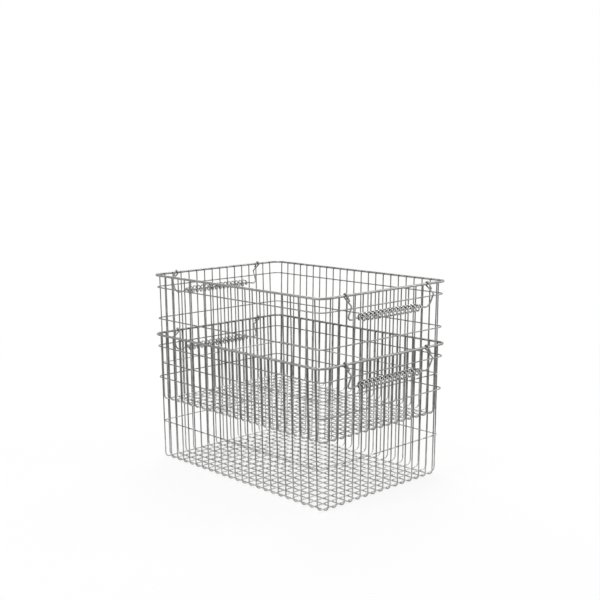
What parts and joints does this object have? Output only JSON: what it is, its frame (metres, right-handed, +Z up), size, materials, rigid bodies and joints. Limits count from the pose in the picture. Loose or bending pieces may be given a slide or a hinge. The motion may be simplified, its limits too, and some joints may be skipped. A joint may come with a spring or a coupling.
{
  "type": "wire locker basket",
  "caption": "Rectangular welded wire locker baskets, one nested in the other, with swinging bail handles and coiled grips at the ends.",
  "frame": {"origin": "centre of the lower basket's base, on the ground", "axes": "+Z up, +X along the length towards one handle, +Y across the width"},
  "size_m": [0.3806, 0.2578, 0.2871],
  "materials": {
    "wire": "bright plated steel wire, satin",
    "bail": "bright plated steel wire, satin",
    "grip": "bright coiled steel wire"
  },
  "bodies": {
    "lower_basket": {"lower_cross_centre": "wire", "lower_cross_1": "wire", "lower_cross_2": "wire", "lower_cross_3": "wire", "lower_cross_4": "wire", "lower_cross_5": "wire", "lower_cross_6": "wire", "lower_cross_7": "wire", "lower_cross_8": "wire", "lower_cross_9": "wire", "lower_cross_10": "wire", "lower_cross_11": "wire", "lower_long_centre": "wire", "lower_long_1": "wire", "lower_long_2": "wire", "lower_long_3": "wire", "lower_long_4": "wire", "lower_long_5": "wire", "lower_long_6": "wire", "lower_long_7": "wire", "lower_rim": "wire", "lower_hoop_top": "wire", "lower_hoop_middle": "wire", "lower_hoop_inner": "wire"},
    "lower_handle_right": {"lower_bail_right": "bail", "lower_grip_right": "grip"},
    "lower_handle_left": {"lower_bail_left": "bail", "lower_grip_left": "grip"},
    "upper_basket": {"upper_cross_centre": "wire", "upper_cross_1": "wire", "upper_cross_2": "wire", "upper_cross_3": "wire", "upper_cross_4": "wire", "upper_cross_5": "wire", "upper_cross_6": "wire", "upper_cross_7": "wire", "upper_cross_8": "wire", "upper_cross_9": "wire", "upper_cross_10": "wire", "upper_cross_11": "wire", "upper_long_centre": "wire", "upper_long_1": "wire", "upper_long_2": "wire", "upper_long_3": "wire", "upper_long_4": "wire", "upper_long_5": "wire", "upper_long_6": "wire", "upper_long_7": "wire", "upper_rim": "wire", "upper_hoop_top": "wire", "upper_hoop_middle": "wire", "upper_hoop_inner": "wire"},
    "upper_handle_right": {"upper_bail_right": "bail", "upper_grip_right": "grip"},
    "upper_handle_left": {"upper_bail_left": "bail", "upper_grip_left": "grip"}
  },
  "joints": [
    {"name": "upper_basket_lift", "type": "slide", "parent": "lower_basket", "child": "upper_basket", "axis": [0, 0, 1], "range_m": [0, 0.15]},
    {"name": "lower_handle_right_swing", "type": "hinge", "parent": "lower_basket", "child": "lower_handle_right", "pos_m": [0.17865, 0, 0.193], "axis": [0, -1, 0], "range_deg": [0, 160]},
    {"name": "lower_handle_left_swing", "type": "hinge", "parent": "lower_basket", "child": "lower_handle_left", "pos_m": [-0.17865, 0, 0.193], "axis": [0, 1, 0], "range_deg": [0, 160]},
    {"name": "upper_handle_right_swing", "type": "hinge", "parent": "upper_basket", "child": "upper_handle_right", "pos_m": [0.17865, 0, 0.283], "axis": [0, -1, 0], "range_deg": [0, 305]},
    {"name": "upper_handle_left_swing", "type": "hinge", "parent": "upper_basket", "child": "upper_handle_left", "pos_m": [-0.17865, 0, 0.283], "axis": [0, 1, 0], "range_deg": [0, 305]}
  ]
}
